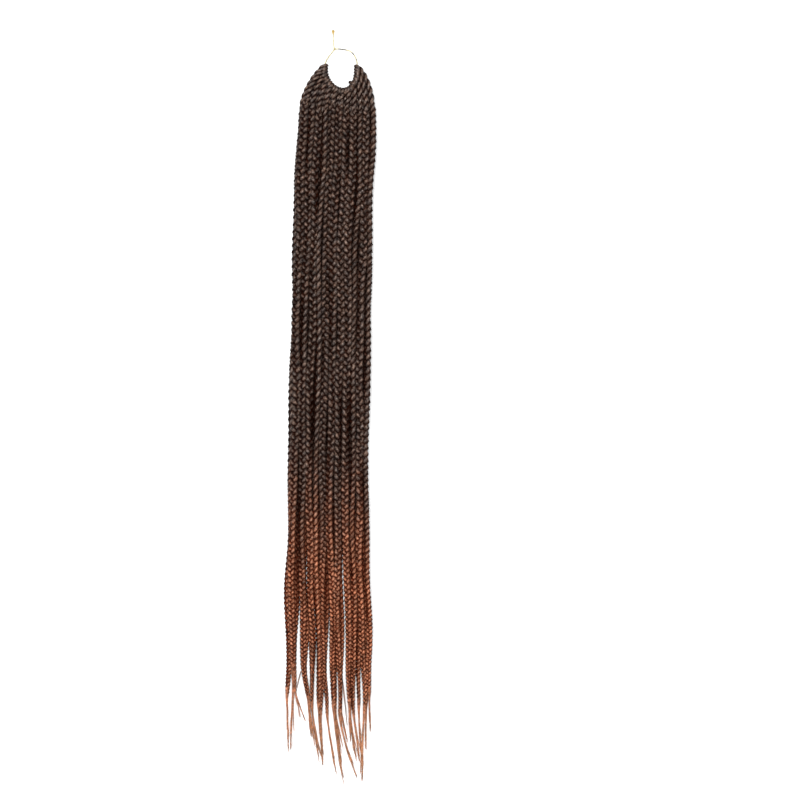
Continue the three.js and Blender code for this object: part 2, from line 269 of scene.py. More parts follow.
# The painted dark reflection on the thread, and how far it covers the gold
PAINTED_DARK_REFLECTION = (0.06, 0.05, 0.034, 1.0)
DARK_REFLECTION_SHARE = 0.92
# Where a dark reflection is painted over the thread's arch, and where its end knot is, in metres
ARCH_REFLECTION_START_X = (0.0065, 0.0075)
ARCH_REFLECTION_END_X = (0.0145, 0.0130)
END_KNOT_Y = (0.3305, 0.3315)
# The knots: name, node, middle and size each way
KNOTS = (
    ("tie_knot_tied", "tie_knot", LOOP_ROUTE[0], (0.24, 0.24, 0.33)),
    ("end_knot_tied", "end_knot", TAIL_ROUTE[-1], (0.3, 0.66, 0.33)),
)
KNOT_HEIGHT = 0.95
KNOT_POINTS = 72
KNOT_THREAD = 0.92  # the thread's size, drawn tight

# The stage, in metres
FLOOR_SIZE = 16.0
FLOOR_WHITE = (0.93, 0.93, 0.93, 1.0)
# The soft lights: name, place, turn, size and the setting that holds the power
SOFTBOXES = (
    ("overhead_softbox", (-0.04, 0.83, 5.0), (-0.165, -0.008, 0), 3.33, "key_power"),
    ("side_softbox", (-1.1, 0.3, 0.9), (-0.2, -0.9, 0), 0.7, "fill_power"),
)


class BraidSettings(bpy.types.PropertyGroup):
    """Sizes of the plaits and of the loose hair."""

    plait_width: FloatProperty(
        name="Plait width", description="Width of a plait across its V face, at full section",
        default=0.0066, min=0.002, max=0.02, subtype="DISTANCE", unit="LENGTH")
    plait_thickness: FloatProperty(
        name="Plait thickness", description="Thickness of a plait, at full section",
        default=0.0048, min=0.001, max=0.02, subtype="DISTANCE", unit="LENGTH")
    strand_width: FloatProperty(
        name="Strand width", description="Width of one of a plait's three strands",
        default=0.0044, min=0.001, max=0.01, subtype="DISTANCE", unit="LENGTH")
    strand_thickness: FloatProperty(
        name="Strand thickness", description="Thickness of one of a plait's three strands",
        default=0.0024, min=0.001, max=0.01, subtype="DISTANCE", unit="LENGTH")
    tip_fibres: IntProperty(
        name="Tip fibres", description="Loose fibres at the end of each braid",
        default=80, min=0, max=200)
    stray_fibres: IntProperty(
        name="Stray fibres", description="Fibres that stand a little off each plait",
        default=12, min=0, max=60)


class HairColours(bpy.types.PropertyGroup):
    """Colours of the hair and where they change."""

    head: FloatVectorProperty(
        name="Head", description="Colour at the head", subtype="COLOR", size=3,
        default=(0.074, 0.0505, 0.0408), min=0, max=1)
    tips: FloatVectorProperty(
        name="Tips", description="Colour at the tips", subtype="COLOR", size=3,
        default=(0.352, 0.150, 0.085), min=0, max=1)
    change_y: FloatProperty(
        name="Change", description="Place along the bundle where the colour is half changed",
        default=-0.090, subtype="DISTANCE", unit="LENGTH")
    change_length: FloatProperty(
        name="Change length", description="Length over which the colour changes",
        default=0.14, min=0.01, subtype="DISTANCE", unit="LENGTH")


class StageSettings(bpy.types.PropertyGroup):
    """Light on the stage."""

    key_power: FloatProperty(
        name="Key light", description="Power of the overhead soft light",
        default=374.0, min=0, unit="POWER")
    fill_power: FloatProperty(
        name="Side light", description="Power of the soft light from the left",
        default=3.0, min=0, unit="POWER")
    sky: FloatProperty(
        name="Surrounding light", description="Strength of the white surroundings",
        default=0.22, min=0)


def mix(low, high, share):
    return low + (high - low) * share


def smooth(share):
    share = np.clip(share, 0.0, 1.0)
    return share * share * (3 - 2 * share)


def grown(value, start, length):
    """How far a change has grown at a value, when it begins at the start and takes a length."""
    return smooth((value - start) / length)


def look_up(table, at, column=1):
    """A table's value at a place between its rows."""
    return np.interp(at, table[:, 0], table[:, column])


def unit(rows):
    return rows / np.linalg.norm(rows, axis=-1, keepdims=True)


def lengths_along(points):
    steps = np.linalg.norm(np.diff(points, axis=0), axis=1)
    return np.concatenate([[0.0], np.cumsum(steps)])


def points_at(points, lengths, places):
    return np.column_stack([np.interp(places, lengths, points[:, axis]) for axis in range(3)])


def curve_through(route):
    """Points on the smooth curve through a route."""
    route = np.array(route)
    ends = np.vstack([2 * route[0] - route[1], route, 2 * route[-1] - route[-2]])
    share = np.linspace(0, 1, SPAN_POINTS, endpoint=False)[:, None]
    spans = []
    for before, start, stop, after in zip(ends, ends[1:], ends[2:], ends[3:]):
        leave = 0.5 * (stop - before)
        arrive = 0.5 * (after - start)
        cubic = 2 * start - 2 * stop + leave + arrive
        square = -3 * start + 3 * stop - 2 * leave - arrive
        spans.append(start + leave * share + square * share**2 + cubic * share**3)
    return np.vstack(spans + [route[-1:]])


LOOP = curve_through(LOOP_ROUTE)
LOOP_LENGTHS = lengths_along(LOOP)
TAIL = curve_through(TAIL_ROUTE)


def eye_place(index):
    """Where a braid is strung on the thread, and the thread's direction there."""
    strung_from = LOOP_LENGTHS[FIRST_EYE_POINT * SPAN_POINTS]
    strung_to = LOOP_LENGTHS[LAST_EYE_POINT * SPAN_POINTS]
    at = mix(strung_from, strung_to, index / (BRAID_COUNT - 1))
    near = 0.2
    place, ahead, behind = points_at(LOOP, LOOP_LENGTHS, [at, at + near, at - near])
    return place, unit(ahead - behind)


def half_height(roll, settings):
    """Half the height of a full plait that is rolled about its own line."""
    wide = settings.plait_width / MM / 2
    thick = settings.plait_thickness / MM / 2
    return np.hypot(wide * np.sin(roll), thick * np.cos(roll))


def half_breadth(roll, settings):
    return half_height(roll + math.pi / 2, settings)


def packing(settings):
    """How far each braid of the top layer moves aside so that broad and narrow faces fit."""
    offsets = np.zeros(BRAID_COUNT)
    top = np.arange(1, BRAID_COUNT, 2)
    rolls = np.radians([BRAIDS[i][4] for i in top])
    halves = half_breadth(rolls, settings)
    places = np.concatenate([[0.0], np.cumsum(halves[:-1] + halves[1:])])
    even = np.arange(len(top)) * 2 * COLUMN_PITCH
    places *= even[-1] / places[-1]
    offsets[top] = places - even
    return offsets


def column_x(index, drop):
    """The middle of a braid's column at a drop."""
    at = drop / HAIR_LENGTH
    shift = look_up(COLUMNS, at) * BUNDLE_WIDTH
    pitch = COLUMN_PITCH * look_up(COLUMNS, at, 2)
    gathering = BRAIDS[index][2] * COLUMN_PITCH * grown(drop, GATHER_DROP, GATHER_LENGTH)
    return shift + pitch * (index - (BRAID_COUNT - 1) / 2) + gathering


def soft_column_x(index, drop):
    """The same, with the corners of the table eased."""
    window = np.linspace(-COLUMN_EASING, COLUMN_EASING, 9)
    return np.mean([column_x(index, drop + step) for step in window], axis=0)


def taper_at(drop):
    """The share of the full section that the tapers leave at a drop."""
    return look_up(TAPERS, drop / HAIR_LENGTH)


class BraidLine:
    """The line that a braid follows from its eye to its tip, with its section's size and roll."""

    def __init__(self, index, settings, offset, rng):
        self.index = index
        end, tip, _, lean, roll, early = BRAIDS[index]
        self.early = early
        self.upper = index % 2 == 1
        starts = rng.uniform(0, math.tau, 4)
        lengths = rng.uniform(*WAVE_LENGTHS, 4)

        def waves(drop, first, sizes):
            long = np.sin(math.pi * drop / lengths[first] + starts[first])
            short = np.sin(math.tau * drop / lengths[first + 1] + starts[first + 1])
            return sizes[0] * long + sizes[1] * short

        def roll_at(drop):
            flat = 1 - FLATTENED * grown(drop, *FLATTENING) if abs(roll) < FULL_ROLL else 1.0
            swing = grown(drop, *ROLL_RISE) * waves(drop, 2, ROLL_SWINGS)
            return math.radians(roll) * flat + swing * (1.0 if self.upper else LOWER_SWING)

        def height_at(drop):
            size = taper_at(drop)
            own = half_height(roll_at(drop), settings) * size
            if self.upper:
                return (BRAID_THICKNESS + LAYER_GAP - LAYER_SINK) * size + own
            return own

        def x_at(drop):
            shift = grown(drop, *FIRST_SHIFT) * mix(*SHIFTS[index], grown(drop, *SECOND_SHIFT))
            left = (tip * HAIR_LENGTH - drop) / ((tip - end) * HAIR_LENGTH)
            shift = shift * np.clip(left, 0, 1)
            sway = grown(drop, *SWAY_RISE) * waves(drop, 0, SWAYS)
            return soft_column_x(index, drop) + offset * taper_at(drop) + sway + shift

        # Neck: square out of the eye, then down into the column
        eye, along = eye_place(index)
        out = unit(np.array([along[1], -along[0]]))
        start = eye[:2]
        stop = np.array([x_at(NECK_DROP), HEAD_Y - NECK_DROP])
        reach = np.linalg.norm(stop - start)
        lead = unit(out + np.array([0, -NECK_DROOP]))
        handles = [
            start, start + lead * reach * NECK_OUTWARD, stop + [0, reach * NECK_UPRIGHT], stop]
        t = np.linspace(0, 1, NECK_POINTS)[:, None]
        plan = ((1 - t) ** 3 * handles[0] + 3 * (1 - t) ** 2 * t * handles[1]
                + 3 * (1 - t) * t**2 * handles[2] + t**3 * handles[3])
        run = lengths_along(plan)
        climb = smooth(look_up(NECK_CLIMB, run / run[-1]))
        neck = np.column_stack([plan, mix(eye[2], height_at(NECK_DROP), climb)])

        # Plait, straight down its column
        plait_drop = np.arange(NECK_DROP + 1.0, end * HAIR_LENGTH, 1.0)
        plait = np.column_stack([x_at(plait_drop), HEAD_Y - plait_drop, height_at(plait_drop)])

        # Lock, leaning aside and down to the surface
        part = np.linspace(0, 1, LOCK_POINTS)
        lock_drop = mix(end, tip, part) * HAIR_LENGTH
        lock_x = x_at(lock_drop) + lean * BUNDLE_WIDTH * part**LOCK_BEND
        lock_z = height_at(end * HAIR_LENGTH) * (1 - part) ** LOCK_FALL
        lock_z = np.maximum(lock_z, LOCK_FLOOR[0] + LOCK_FLOOR[1] * (1 - part))
        self.lock = np.column_stack([lock_x, HEAD_Y - lock_drop, lock_z])

        self.points = np.vstack([neck, plait, self.lock])
        self.lengths = lengths_along(self.points)
        self.drops = np.concatenate([HEAD_Y - neck[:, 1], plait_drop, lock_drop])
        self.neck_length = self.lengths[len(neck) - 1]
        self.plait_length = self.lengths[len(neck) + len(plait) - 1]
        self.eye = eye
        self.out = np.array([out[0], out[1], 0.0])
        self.roll_at = roll_at
        self.end_size = float(self.size_at(end * HAIR_LENGTH))
        tangents = unit(np.gradient(self.points, axis=0))
        self.sides = unit(np.cross([0, 0, 1.0], tangents))
        self.ups = np.cross(tangents, self.sides)

    def size_at(self, drop):
        """The share of the full section that is left at a drop."""
        return taper_at(drop) * mix(1.0, THINNED[self.index], grown(drop, *THINNING))

    def at(self, places):
        """Point, side, up and drop at places along the line."""
        point = points_at(self.points, self.lengths, places)
        side = unit(points_at(self.sides, self.lengths, places))
        up = unit(points_at(self.ups, self.lengths, places))
        drop = np.interp(places, self.lengths, self.drops)
        return point, side, up, drop


def only(*objects):
    """Selects these objects and nothing else, the first one active."""
    bpy.ops.object.select_all(action="DESELECT")
    for item in objects:
        item.select_set(True)
    bpy.context.view_layer.objects.active = objects[0]


def outline(name, radius, across, up, resolution=2, points=None):
    """A closed outline to sweep: a circle, resized all over or at some of its points alone."""
    bpy.ops.object.select_all(action="DESELECT")
    bpy.ops.curve.primitive_bezier_circle_add(radius=radius)
    section = bpy.context.object
    section.name = name
    section.data.resolution_u = resolution
    bpy.ops.object.mode_set(mode="EDIT")
    if points:
        bpy.ops.curve.select_all(action="DESELECT")
        for number in points:
            section.data.splines[0].bezier_points[number].select_control_point = True
    else:
        bpy.ops.curve.select_all(action="SELECT")
        bpy.ops.curve.handle_type_set(type="FREE_ALIGN")
    bpy.ops.transform.resize(value=(across, up, 1.0))
    bpy.ops.object.mode_set(mode="OBJECT")
    return section


def swept(name, runs, section, material, closed=False, reach=None, middle=None, folded=False):
    """A mesh swept along runs, each of them points, radii, tilts and a tone.

    With reach, each point is marked with the painted shade it takes: none where it lies well away
    from the other runs, or from the run's own other half where it is folded, and above the braid's
    sides; painted shade in the grooves and down the sides. Middle is the braid's own height and
    half thickness along the runs."""
    bpy.ops.object.select_all(action="DESELECT")
    bpy.ops.curve.primitive_nurbs_path_add()
    path = bpy.context.object
    path.name = name
    data = path.data
    data.splines.clear()
    data.dimensions = "3D"
    data.twist_mode = "Z_UP"
    data.bevel_mode = "OBJECT"
    data.bevel_object = section
    runs = [
        (points, *(np.broadcast_to(row, len(points)).astype(float) for row in rows))
        for points, *rows in runs]
    if not closed:
        runs = [pointed(run) for run in runs]
    for points, radii, tilts, _ in runs:
        spline = data.splines.new("POLY")
        spline.points.add(len(points) - 1)
        rows = np.column_stack([points * MM, np.ones(len(points))])
        spline.points.foreach_set("co", rows.ravel())
        spline.points.foreach_set("radius", radii)
        spline.points.foreach_set("tilt", tilts)
        spline.use_cyclic_u = closed
        spline.use_smooth = True
    data.materials.append(material)
    only(path)
    bpy.ops.object.convert(target="MESH")
    made = bpy.context.object
    sides = section.data.resolution_u * 4
    mark_runs(made.data, runs, sides)
    mark_painted_shade(made.data, runs, sides, reach, middle, folded)
    bpy.ops.object.mode_set(mode="EDIT")
    bpy.ops.mesh.select_all(action="SELECT")
    bpy.ops.mesh.remove_doubles(threshold=1e-6)
    bpy.ops.object.mode_set(mode="OBJECT")
    return made


def pointed(run):
    """The same run with a point of no width a little beyond each end, so that the mesh closes."""
    points, radii, tilts, tone = run
    first = points[0] + unit(points[0] - points[1]) * POINT_LENGTH
    last = points[-1] + unit(points[-1] - points[-2]) * POINT_LENGTH
    points = np.vstack([first, points, last])
    return points, np.pad(radii, 1), np.pad(tilts, 1, mode="edge"), np.pad(tone, 1, mode="edge")


def read(rows, name, width=1, kind=np.float32):
    """One value, or a few, of every row of a mesh's data."""
    values = np.empty(len(rows) * width, dtype=kind)
    rows.foreach_get(name, values)
    return values


def mark(mesh, name, values):
    """Gives every point of a mesh its own value."""
    mesh.attributes.new(name, "FLOAT", "POINT").data.foreach_set("value", values)


def mark_painted_shade(mesh, runs, sides, reach, middle, folded):
    """Marks each point with how much painted shade it takes, in the grooves and down the braid's
    sides, as told for a swept mesh.
    """
    places = read(mesh.vertices, "co", 3).reshape(-1, 3) / MM
    marks = np.ones(len(places))
    first = 0
    for run in runs:
        last = first + len(run[0]) * sides
        if reach is not None:
            others = [run[0][::-1]] if folded else [r[0] for r in runs if r is not run]
            rings = places[first:last].reshape(len(run[0]), sides, 3)
            clear = groove_shade_mask(rings, run[0], others, np.pad(reach, 1, mode="edge"))
            if folded:
                bend = np.abs(np.arange(len(clear)) - (len(clear) - 1) / 2)
                fold = FOLD_UNSHADED * (1 - grown(bend, *FOLD_RINGS))
                clear = np.maximum(clear, fold[:, None])
            height, half = (np.pad(row, 1, mode="edge")[:, None] for row in middle)
            level = (rings[:, :, 2] - height) / half
            # painted shade down the braid's sides
            clear = clear * mix(SIDE_SHADE, 1.0, grown(level, *SIDE_RISE))
            marks[first:last] = clear.ravel()
        first = last
    mark(mesh, "open", marks)


def mark_runs(mesh, runs, sides):
    """Gives each run its tone, and a UV in centimetres along it and turns round it."""
    counts = [len(points) * sides for points, *_ in runs]
    if sum(counts) != len(mesh.vertices):
        raise RuntimeError(f"{mesh.name}: {len(mesh.vertices)} vertices, not {sum(counts)}")
    tone = np.concatenate([np.repeat(run[3], sides) for run in runs])
    mark(mesh, "tone", tone)
    along = np.concatenate([np.repeat(lengths_along(run[0]) / 10, sides) for run in runs])
    turn = np.concatenate([np.tile(np.arange(sides) / sides, len(run[0])) for run in runs])
    corners = read(mesh.loops, "vertex_index", kind=np.int32)
    v = turn[corners]
    starts = read(mesh.polygons, "loop_start", kind=np.int32)
    totals = read(mesh.polygons, "loop_total", kind=np.int32)
    quads = starts[totals == 4]
    rows = quads[:, None] + np.arange(4)
    faces = v[rows]
    wraps = (faces.max(axis=1) - faces.min(axis=1)) > 0.5
    faces[wraps] = np.where(faces[wraps] < 0.5, faces[wraps] + 1.0, faces[wraps])
    v[rows] = faces
    layer = mesh.uv_layers[0] if mesh.uv_layers else mesh.uv_layers.new(name="UVMap")
    layer.name = "UVMap"
    layer.data.foreach_set("uv", np.column_stack([along[corners], v]).ravel())


def shade_between(mesh):
    """Paints shade on a bottom braid where the braids of the top layer lie on both sides of it."""
    marks = read(mesh.attributes["open"].data, "value")
    drop = HEAD_Y - read(mesh.vertices, "co", 3)[1::3] / MM
    covered = grown(drop, *COVERED_FROM) * (1 - grown(drop, *COVERED_TO))
    marks *= mix(1.0, LOWER_SHADE, covered).astype(np.float32)
    mesh.attributes["open"].data.foreach_set("value", marks)


def plait_runs(line, settings, rng):
    """The three strands of a plait, with where they start, the plait's size along them, and its
    height and half height."""
    begun = np.interp(rng.uniform(*PLAIT_START), line.drops, line.lengths)
    start = float(np.clip(begun, SHORTEST_NECK, line.neck_length * LONGEST_NECK))
    stop = line.plait_length + PLAIT_OVERLAP
    fine = np.arange(start, stop, FINE_STEP)
    _, _, _, drops = line.at(fine)
    heights = look_up(V_HEIGHTS, drops) * rng.uniform(*V_VARIATION)
    quick = np.sin(fine / rng.uniform(5, 9) + rng.uniform(0, 6))
    slow = np.sin(fine / 31 + rng.uniform(0, 6))
    heights *= 1 + V_UNEVENNESS * quick * slow
    turns = np.cumsum(FINE_STEP * math.tau / (3 * heights[:-1]))
    turns = np.concatenate([[0.0], turns])
    angles = np.arange(0, turns[-1], math.tau / STEPS_PER_TURN)
    places = np.interp(angles, turns, fine)
    point, side, up, drop = line.at(places)
    size = line.size_at(drop)
    size = size * mix(OPENING[0], 1.0, grown(places, start, OPENING[1]))
    size = size * mix(CLOSING[0], 1.0, grown(stop - places, 0, CLOSING[1]))
    roll = line.roll_at(drop)
    across = np.cos(roll)[:, None] * side + np.sin(roll)[:, None] * up
    over = -np.sin(roll)[:, None] * side + np.cos(roll)[:, None] * up
    swing = (settings.plait_width - settings.strand_thickness) / MM / 2
    rise = (settings.plait_thickness - settings.strand_thickness) / MM / 2
    half_wide = settings.strand_width / MM / 2
    half_thick = settings.strand_thickness / MM / 2
    first = rng.uniform(0, math.tau)
    loose = mix(1.0, LOOSENESS, grown(drop, *LOOSENING))
    slim = mix(1.0, LOOSE_SLIMNESS, loose / LOOSENESS - 0.4)
    runs = []
    for strand in range(3):
        phase = angles + first + math.tau * strand / 3
        wobble = 1 + loose * sum(
            width * np.sin(phase * pace + rng.uniform(0, 6)) for width, pace in WOBBLES)
        crossing = phase + CROSSING_HASTE * np.sin(2 * phase)
        x = swing * np.sin(crossing) * wobble
        z = -rise * np.tanh(FACE_FLATNESS * np.sin(2 * crossing)) / math.tanh(FACE_FLATNESS)
        place = point + (size * x)[:, None] * across + (size * z)[:, None] * over
        # The flat strand follows the plait's rounded surface and turns over at its edges
        turned = 1 - np.tanh(EDGE_TURN * np.cos(phase)) / math.tanh(EDGE_TURN)
        tilt = roll + math.pi / 2 * turned
        fullness = STRAND_FULLNESS[0] + STRAND_FULLNESS[1] * np.sin(2 * crossing) ** 2
        radius = size * fullness * (2 - wobble) * slim
        below = radius * np.hypot(half_wide * np.sin(tilt), half_thick * np.cos(tilt))
        place[:, 2] = np.maximum(place[:, 2], below)
        runs.append((place, radius, tilt, rng.uniform(-1, 1)))
    return runs, start, size, (point[:, 2], half_height(roll, settings) * size)


def neck_runs(line, start, rng):
    """One ply that comes up the neck, folds over the thread and goes back down, twisted with
    itself; with how near its other half has to be, and the neck's height and half height."""
    places = np.arange(0.0, start + PLY_OVERLAP, PLY_STEP)
    point, side, up, _ = line.at(places)
    narrowing = mix(1.03, 0.94, grown(places, 0, 6))
    radius = narrowing * mix(1.0, 1.16, grown(places, start * 0.5, start * 0.5))
    held = (THREAD_DIAMETER + PLY_THICKNESS) / 2
    if line.index == LOOSE_EYE[0]:
        held += LOOSE_EYE[1]
    spread = mix(held, radius, grown(places, 0, PLY_CLOSING))
    turn = PLY_TURN * rng.uniform(*PLY_TURN_VARIATION)
    angle = math.pi / 2 + math.tau * np.maximum(places - PLY_STRAIGHT, 0) / turn
    ends = mix(1.0, PLY_END, grown(places, start, PLY_OVERLAP))
    plies = []
    for lag in (0.0, math.pi):
        swing = np.sin(angle + lag)[:, None] * up + np.cos(angle + lag)[:, None] * side
        plies.append(point + spread[:, None] * swing * ends[:, None])
    bend = np.radians(np.arange(105, 270, 15))[:, None]
    arc = line.eye + held * (np.cos(bend) * line.out + np.sin(bend) * np.array([0, 0, 1.0]))
    path = np.vstack([plies[0][::-1], arc, plies[1]])
    radii = np.concatenate([(radius * ends)[::-1], np.full(len(arc), radius[0]), radius * ends])
    path[:, 2] = np.maximum(path[:, 2], radii * PLY_WIDTH / 2)
    height = np.concatenate([point[::-1, 2], arc[:, 2], point[:, 2]])
    return [(path, radii, 0.0, rng.uniform(-1, 1))], 2.2 * radii, (height, 1.9 * radii)


def groove_shade_mask(rings, path, others, reach):
    """For rings of points round a line, 0 where another line is as near as their own and 1 where it
    is further by the reach at that ring: the mask for the painted shade in the grooves."""
    count, sides, _ = rings.shape
    own = np.linalg.norm(rings - path[:, None, :], axis=-1)
    nearest = np.full((count, sides), np.inf)
    for other in others:
        padded = np.pad(other, ((NEAR_POINTS, NEAR_POINTS), (0, 0)), mode="edge")
        for step in range(2 * NEAR_POINTS + 1):
            gap = rings - padded[step:step + count, None, :]
            nearest = np.minimum(nearest, np.einsum("ijk,ijk->ij", gap, gap))
    return smooth((np.sqrt(nearest) - own) / reach[:, None])


def lock_runs(line, settings, rng):
    """The loose hair beyond the plait: tapering cores, and fibres that gather in wisps."""
    lengths = lengths_along(line.lock)
    total = lengths[-1]
    full = line.end_size * settings.plait_width / MM / 2
    broad = line.end_size * float(half_breadth(line.roll_at(line.drops[-1]), settings))
    slim = SLIM_LOCKS.get(line.index, 1.0)
    wisps = [(1.0, 0.0, 0.0), *((*fork, 0.0) for fork in FORKS.get(line.index, []))]
    while len(wisps) < WISP_COUNT:
        wisps.append((rng.uniform(0.5, 0.92), rng.normal(0, 1.15), rng.uniform(-0.1, 0.5)))

    def strand_line(share, wisp):
        """Points on a wisp, and how far along it they are."""
        reach, aside, lift = wisp
        point = points_at(line.lock, lengths, np.maximum(share, 0) * total)
        point[:, 1] -= np.minimum(share, 0) * total
        gone = np.clip(share / reach, 0, 1)
        point[:, 0] += aside * gone**1.6
        point[:, 2] += lift * gone
        return point, gone

    cores, fibres = [], []
    for number, wisp in enumerate(wisps):
        share = np.linspace(-0.06, wisp[0] * CORE_REACH, CORE_POINTS)
        point, gone = strand_line(share, wisp)
        left = (1 - gone) ** 0.8
        spread = mix(broad * 0.3, 0.26, smooth(share / 0.2)) * left * slim
        angle = math.tau * number / len(wisps) + 0.6
        point[:, 0] += spread * math.cos(angle)
        point[:, 2] += spread * 0.5 * math.sin(angle)
        thickness = mix(full * 0.34, 0.28 if number else 0.4, smooth(share / 0.2))
        radius = thickness * left * slim
        point[:, 2] = np.maximum(point[:, 2], radius)
        cores.append((point, radius, 0.0, rng.uniform(-0.8, 0.8) + 1.2 * gone))
    for number in range(int(settings.tip_fibres * slim)):
        wisp = wisps[0] if number % 5 < 2 else wisps[number % len(wisps)]
        until = wisp[0] * (1 - 0.72 * rng.random() ** 1.6)
        share = np.linspace(-0.05, until, FIBRE_POINTS)
        point, gone = strand_line(share, wisp)
        angle = rng.uniform(0, math.tau)
        out = math.sqrt(rng.random())
        spread = mix(broad * 0.8, FIBRE_SPREAD, smooth(share / 0.24)) * (1 - gone) ** 0.8
        spread = (spread * out + 0.12 * out) * slim
        drift = rng.normal(0, 0.42) * gone**2
        wave = 0.2 * np.sin(share * rng.uniform(8, 18) + rng.uniform(0, 6))
        wave = wave * np.clip(share * 3, 0, 1)
        point[:, 0] += spread * math.cos(angle) + drift + wave
        point[:, 2] += spread * 0.6 * math.sin(angle)
        radius = rng.uniform(*FIBRE_RADII) * np.linspace(1, 0.55, FIBRE_POINTS)
        point[:, 2] = np.maximum(point[:, 2], radius + 0.02)
        fibres.append((point, radius, 0.0, rng.uniform(-2.2, 1.8) + 1.6 * gone))
    if line.index in STRAY_WISPS:
        start, stop = STRAY_WISPS[line.index]
        for _ in range(STRAY_WISP_HAIRS):
            part = np.linspace(0, 1, FIBRE_POINTS)
            x = mix(start[0], stop[0], part)
            x = x + rng.uniform(-0.25, 0.25) + rng.normal(0, 0.3) * part**2
            y = mix(start[1], stop[1], part * rng.uniform(0.8, 1.0))
            hair = np.column_stack([x, y, mix(*STRAY_WISP_HEIGHTS, part)])
            fibres.append((hair, 0.15 * (1 - 0.5 * part), 0.0, STRAY_WISP_TONE))
    return cores, fibres


def stray_runs(line, settings, rng):
    """Fine fibres that lift a little off the plait."""
    runs = []
    for _ in range(settings.stray_fibres):
        start = rng.uniform(20, line.plait_length - 20)
        length = rng.uniform(*STRAY_LENGTHS)
        share = np.linspace(0, 1, STRAY_POINTS)
        point, side, up, drop = line.at(start + share * length)
        size = line.size_at(drop)
        angle = rng.uniform(0, math.pi)
        lift = mix(0.8, 1.0 + rng.uniform(*STRAY_LIFTS), np.sin(math.pi * share))
        wide = half_breadth(line.roll_at(drop), settings)
        high = half_height(line.roll_at(drop), settings)
        angle = angle + rng.uniform(-0.4, 0.4) * share
        point = point + (size * lift * wide * np.cos(angle))[:, None] * side
        point = point + (size * lift * high * np.sin(angle))[:, None] * up
        runs.append((point, np.full(STRAY_POINTS, STRAY_RADIUS), 0.0, rng.uniform(-1, 1)))
    return runs


def set_inputs(tree, node, inputs):
    """Sets each of a node's inputs to a value, or links it to another node's output."""
    for key, value in inputs.items():
        if isinstance(value, bpy.types.NodeSocket):
            tree.links.new(value, node.inputs[key])
        else:
            node.inputs[key].default_value = value


def add_node(tree, kind, inputs, **settings):
    node = tree.nodes.new("ShaderNode" + kind)
    for key, value in settings.items():
        setattr(node, key, value)
    set_inputs(tree, node, inputs)
    return node


def new_material(name):
    material = bpy.data.materials.new(name)
    material.use_nodes = True
    return material, material.node_tree, material.node_tree.nodes["Principled BSDF"]


def maths(tree, operation, first, second=0.0, third=0.0):
    node = add_node(tree, "Math", {0: first, 1: second, 2: third}, operation=operation)
    return node.outputs[0]


def blend_colour(tree, share, first, second, mode="MIX"):
    node = add_node(
        tree, "Mix", {0: share, 6: first, 7: second}, data_type="RGBA", blend_type=mode)
    return node.outputs[2]


def noise(tree, place, scale, detail, roughness=0.5):
    node = add_node(tree, "TexNoise", {
        "Vector": place, "Scale": scale, "Detail": detail, "Roughness": roughness})
    return node.outputs["Fac"]


def ramp(tree, value, start, end, low=0.0, high=1.0, **settings):
    """Low up to the start, high from the end on."""
    node = add_node(tree, "MapRange", {
        "Value": value, "From Min": start, "From Max": end, "To Min": low, "To Max": high},
        **settings)
    return node.outputs[0]


def scaled(tree, values, repeats):
    """The place whose sides are these values, each times its repeats."""
    node = add_node(tree, "CombineXYZ", {
        side: maths(tree, "MULTIPLY", value, repeat)
        for side, (value, repeat) in enumerate(zip(values, repeats))})
    return node.outputs[0]


def weighted(tree, base, *terms):
    """The base and each of the terms, times its weight."""
    for value, weight in terms:
        base = maths(tree, "MULTIPLY_ADD", value, weight, base)
    return base


